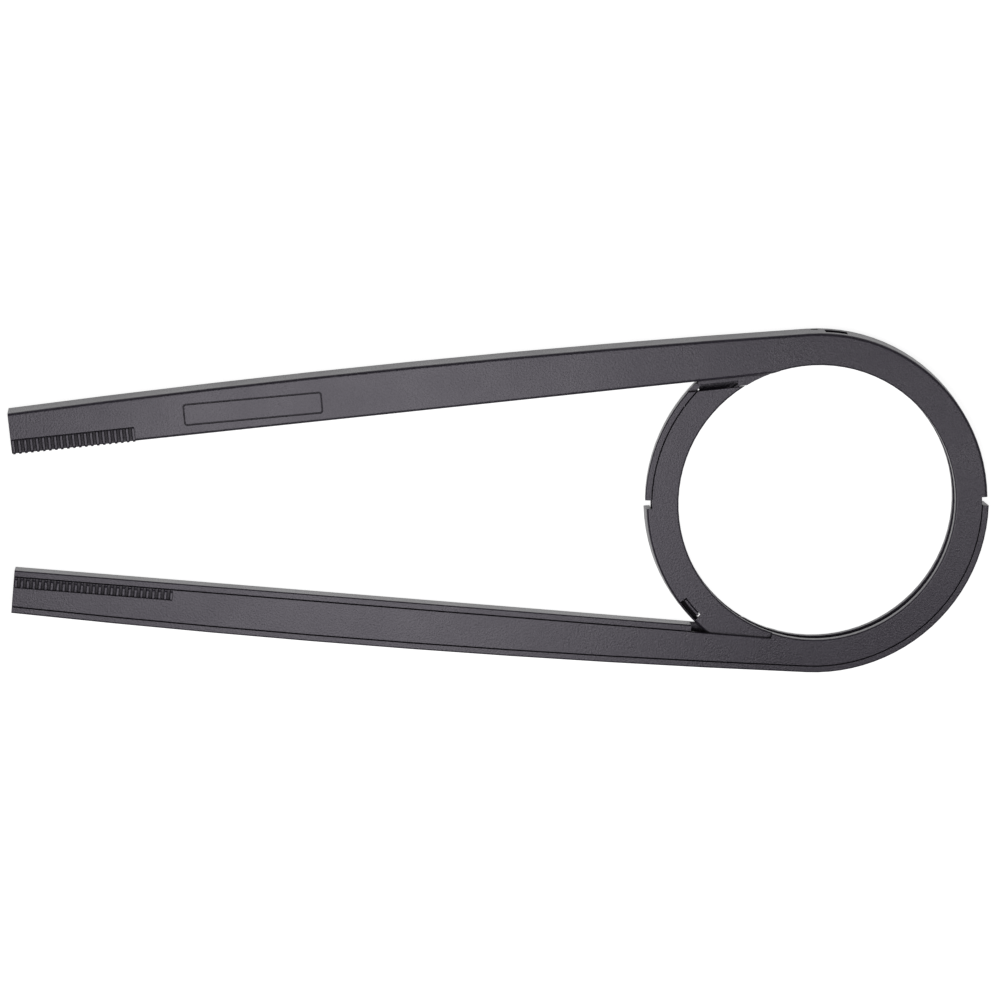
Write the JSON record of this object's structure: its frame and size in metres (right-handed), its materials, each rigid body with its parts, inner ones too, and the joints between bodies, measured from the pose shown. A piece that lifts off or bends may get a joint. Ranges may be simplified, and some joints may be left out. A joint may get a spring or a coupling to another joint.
{
  "type": "bicycle chain guard",
  "caption": "Front section of a closed bicycle chain guard: two interlocking moulded half shells that run round the chainring and along both runs of the chain.",
  "frame": {"origin": "centre of the round chainring opening, halfway through the depth of the closed guard", "axes": "+X from the arms towards the front of the ring, +Y up across the arms, +Z through the opening, out towards the crank"},
  "size_m": [0.5097, 0.18, 0.0167],
  "materials": {
    "shell_plastic": "fine-grained matt moulded plastic, charcoal"
  },
  "bodies": {
    "root": {"outer_shell": "shell_plastic", "inner_shell": "shell_plastic"}
  },
  "joints": []
}
